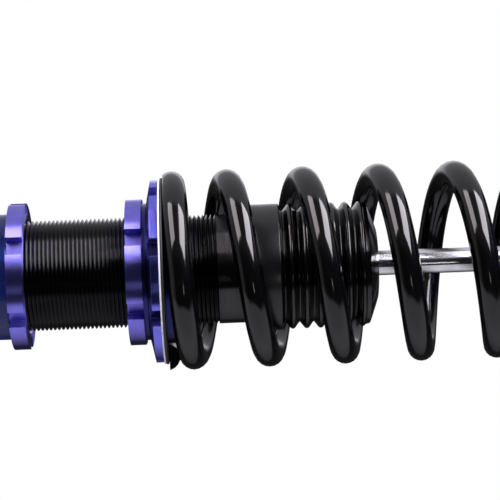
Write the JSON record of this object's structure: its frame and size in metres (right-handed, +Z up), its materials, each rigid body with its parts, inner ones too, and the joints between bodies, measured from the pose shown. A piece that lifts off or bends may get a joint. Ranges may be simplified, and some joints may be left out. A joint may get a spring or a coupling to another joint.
{
  "type": "coil-over suspension strut",
  "caption": "Coil-over strut: coil spring on a screwed perch round a threaded gas damper, with a ball-jointed stud plate on top and an eye bracket below.",
  "frame": {"origin": "centre of the stud circle on the upper face of the top plate", "axes": "+Z up along the piston rod, out of the top plate; +X towards the first stud; the bolt through the lower eye lies along Y"},
  "size_m": [0.124, 0.1356, 0.5078],
  "materials": {
    "violet_collar": "anodised violet, turned",
    "violet_perch": "anodised violet-blue, turned",
    "violet_plate": "anodised violet, milled",
    "bare_aluminium": "turned, satin",
    "black_aluminium": "anodised black",
    "zinc_steel": "zinc plated",
    "bearing_steel": "ground",
    "dark_steel": "phosphated",
    "rod_chrome": "hard chrome, polished",
    "cage_brass": "machined",
    "spring_black": "gloss black paint",
    "tube_black": "black coating on a steel tube",
    "bracket_blue": "royal blue paint",
    "boot_black": "glossy black rubber",
    "seal_black": "moulded rubber",
    "bush_black": "moulded rubber",
    "isolator_black": "matte rubber",
    "foam_cream": "foamed polyurethane",
    "slip_white": "smooth white plastic",
    "band_brown": "bearing plastic",
    "stop_red": "polyurethane",
    "knob_black": "gloss black"
  },
  "bodies": {
    "top_mount": {"top_plate": "violet_plate", "mount_studs": "zinc_steel", "ball_race": "bearing_steel", "race_circlip": "dark_steel"},
    "rod_group": {"mount_ball": "rod_chrome", "top_spacer": "bare_aluminium", "rod_nut": "zinc_steel", "bearing_collar": "bare_aluminium", "upper_thrust_race": "bearing_steel", "rod_stop_washer": "zinc_steel", "piston_rod": "rod_chrome", "topout_stop": "stop_red", "backing_washer": "zinc_steel", "upper_shims": "bearing_steel", "piston": "bare_aluminium", "piston_band": "band_brown", "lower_shims": "bearing_steel", "piston_nut": "zinc_steel"},
    "knob": {"adjuster_knob": "knob_black"},
    "needle": {"adjuster_needle": "bearing_steel"},
    "bearing_cage": {"thrust_cage": "cage_brass", "thrust_balls": "bearing_steel"},
    "upper_seat": {"lower_thrust_race": "bearing_steel", "upper_spring_seat": "violet_plate", "upper_isolator": "isolator_black"},
    "damper_body": {"body_tube": "tube_black", "gland_nut": "black_aluminium", "rod_wiper": "seal_black", "rod_guide": "bare_aluminium", "rod_seal": "seal_black", "rod_bush": "cage_brass", "guide_seal": "seal_black", "bump_stop": "foam_cream", "dust_boot": "boot_black", "base_cap": "black_aluminium", "gas_screw": "zinc_steel"},
    "gas_piston": {"floating_piston": "bare_aluminium", "floating_piston_seal": "seal_black"},
    "spring_carriage": {"coil_spring": "spring_black", "isolator_ring": "isolator_black", "slip_ring": "slip_white"},
    "perch": {"spring_perch": "violet_perch"},
    "upper_collar": {"upper_lock_collar": "violet_collar"},
    "bracket_carriage": {"lower_lock_collar": "violet_collar"},
    "bracket": {"lower_bracket": "bracket_blue", "eye_bush": "bush_black"},
    "bush_sleeve": {"eye_sleeve": "zinc_steel"}
  },
  "joints": [
    {"name": "mount_tilt", "type": "hinge", "parent": "top_mount", "child": "rod_group", "pos_m": [0, 0, -0.011], "axis": [0, 1, 0], "range_deg": [-10, 10]},
    {"name": "seat_turn", "type": "hinge", "parent": "rod_group", "child": "upper_seat", "pos_m": [0, 0, -0.0401], "axis": [0, 0, 1], "continuous": true},
    {"name": "cage_turn", "type": "hinge", "parent": "rod_group", "child": "bearing_cage", "pos_m": [0, 0, -0.03585], "axis": [0, 0, 1], "continuous": true},
    {"name": "stroke", "type": "slide", "parent": "rod_group", "child": "damper_body", "axis": [0, 0, 1], "range_m": [0, 0.085], "stiffness_N_per_m": 96900, "springref_m": -0.002, "deforming": ["coil_spring"]},
    {"name": "gas_travel", "type": "slide", "parent": "damper_body", "child": "gas_piston", "axis": [0, 0, 1], "range_m": [-0.0059, 0]},
    {"name": "perch_turn", "type": "hinge", "parent": "spring_carriage", "child": "perch", "pos_m": [0, 0, -0.25255], "axis": [0, 0, 1], "range_deg": [-3601, 1]},
    {"name": "perch_travel", "type": "slide", "parent": "damper_body", "child": "spring_carriage", "axis": [0, 0, 1], "range_m": [-0.02, 0]},
    {"name": "collar_turn", "type": "hinge", "parent": "spring_carriage", "child": "upper_collar", "pos_m": [0, 0, -0.2685], "axis": [0, 0, 1], "range_deg": [-3601, 1]},
    {"name": "bracket_turn", "type": "hinge", "parent": "bracket_carriage", "child": "bracket", "pos_m": [0, 0, -0.3243], "axis": [0, 0, 1], "range_deg": [-3601, 3601]},
    {"name": "bracket_travel", "type": "slide", "parent": "damper_body", "child": "bracket_carriage", "axis": [0, 0, 1], "range_m": [-0.02, 0.02]},
    {"name": "bush_twist", "type": "hinge", "parent": "bracket", "child": "bush_sleeve", "pos_m": [0, 0, -0.457], "axis": [0, 1, 0], "range_deg": [-15, 15], "stiffness_Nm_per_rad": 57},
    {"name": "knob_turn", "type": "hinge", "parent": "rod_group", "child": "knob", "pos_m": [0, 0, 0.0158], "axis": [0, 0, 1], "range_deg": [-1, 901]},
    {"name": "needle_travel", "type": "slide", "parent": "rod_group", "child": "needle", "axis": [0, 0, 1], "range_m": [-0.002, 0]}
  ],
  "couplings": [
    {"joint": "cage_turn", "follows": "seat_turn", "ratio": 0.5},
    {"joint": "gas_travel", "follows": "stroke", "ratio": -0.06805},
    {"joint": "perch_turn", "follows": "perch_travel", "rad_per_m": 3141.6},
    {"joint": "collar_turn", "follows": "perch_travel", "rad_per_m": 3141.6},
    {"joint": "bracket_turn", "follows": "bracket_travel", "rad_per_m": 3141.6},
    {"joint": "knob_turn", "follows": "needle_travel", "rad_per_m": -7854}
  ]
}
